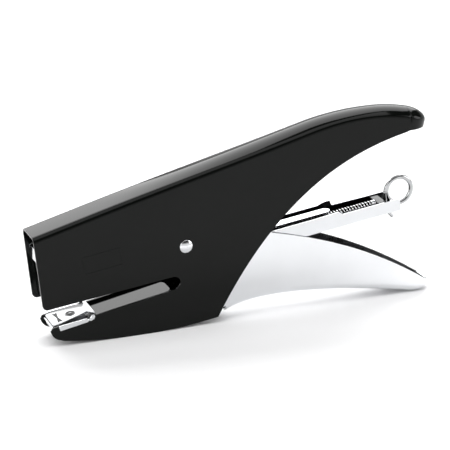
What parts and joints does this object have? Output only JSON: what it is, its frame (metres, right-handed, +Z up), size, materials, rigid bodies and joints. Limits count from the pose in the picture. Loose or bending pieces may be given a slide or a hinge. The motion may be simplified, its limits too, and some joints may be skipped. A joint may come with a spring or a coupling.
{
  "type": "plier stapler",
  "caption": "Plier stapler: black folded sheet body with anvil jaw, chromed squeeze lever, tilting staple magazine and wire pull ring.",
  "frame": {"origin": "middle of the footprint's bounding box, on the surface the stapler stands on", "axes": "+X along the stapler from its mouth to the handle ends, +Y across it, +Z up"},
  "size_m": [0.2128, 0.021, 0.1007],
  "materials": {
    "black_enamel": "gloss black enamel on sheet steel",
    "chrome": "bright nickel-chrome plating",
    "plain_steel": "plain zinc-plated steel",
    "staple_wire": "galvanised flattened wire",
    "spring_steel": "drawn spring wire"
  },
  "bodies": {
    "frame": {"body_shell": "black_enamel", "jaw_bed": "black_enamel", "anvil_base": "chrome", "anvil_plate": "chrome", "anvil_rivet": "chrome", "main_rivet": "chrome", "pivot_spacer": "plain_steel", "return_spring": "spring_steel"},
    "lever": {"lever_handle": "chrome", "nose_bridge": "chrome", "driver_pin": "plain_steel", "spring_pin": "plain_steel"},
    "magazine": {"magazine_channel": "chrome", "magazine_core": "chrome", "magazine_cover": "chrome", "front_guide": "chrome", "staple_strip": "staple_wire", "magazine_spring": "spring_steel"},
    "driver": {"driver_blade": "plain_steel"},
    "feed_rod": {"guide_rod": "plain_steel", "rod_stop": "plain_steel", "spring_seat": "plain_steel", "ring_handle": "chrome", "feed_spring": "spring_steel"},
    "follower": {"pusher": "plain_steel"}
  },
  "joints": [
    {"name": "lever_squeeze", "type": "hinge", "parent": "frame", "child": "lever", "pos_m": [-0.0296, 0, 0.043], "axis": [0, -1, 0], "range_deg": [0, 13.5], "stiffness_Nm_per_rad": 2, "springref_deg": -11.46, "deforming": ["return_spring"]},
    {"name": "magazine_tilt", "type": "hinge", "parent": "frame", "child": "magazine", "pos_m": [-0.0296, 0, 0.043], "axis": [0, -1, 0], "range_deg": [0, 7.2], "deforming": ["magazine_spring"]},
    {"name": "driver_stroke", "type": "slide", "parent": "magazine", "child": "driver", "axis": [0.1392, 0, -0.9903], "range_m": [0, 0.00765]},
    {"name": "ring_pull", "type": "slide", "parent": "magazine", "child": "feed_rod", "axis": [0.9903, 0, 0.1392], "range_m": [0, 0.09]},
    {"name": "staple_feed", "type": "slide", "parent": "feed_rod", "child": "follower", "axis": [0.9903, 0, 0.1392], "range_m": [0, 0.04], "stiffness_N_per_m": 60, "springref_m": -0.05, "deforming": ["feed_spring"]}
  ],
  "couplings": [
    {"joint": "magazine_tilt", "follows": "lever_squeeze", "ratio": 0.53333},
    {"joint": "driver_stroke", "follows": "lever_squeeze", "m_per_rad": 0.03234}
  ]
}
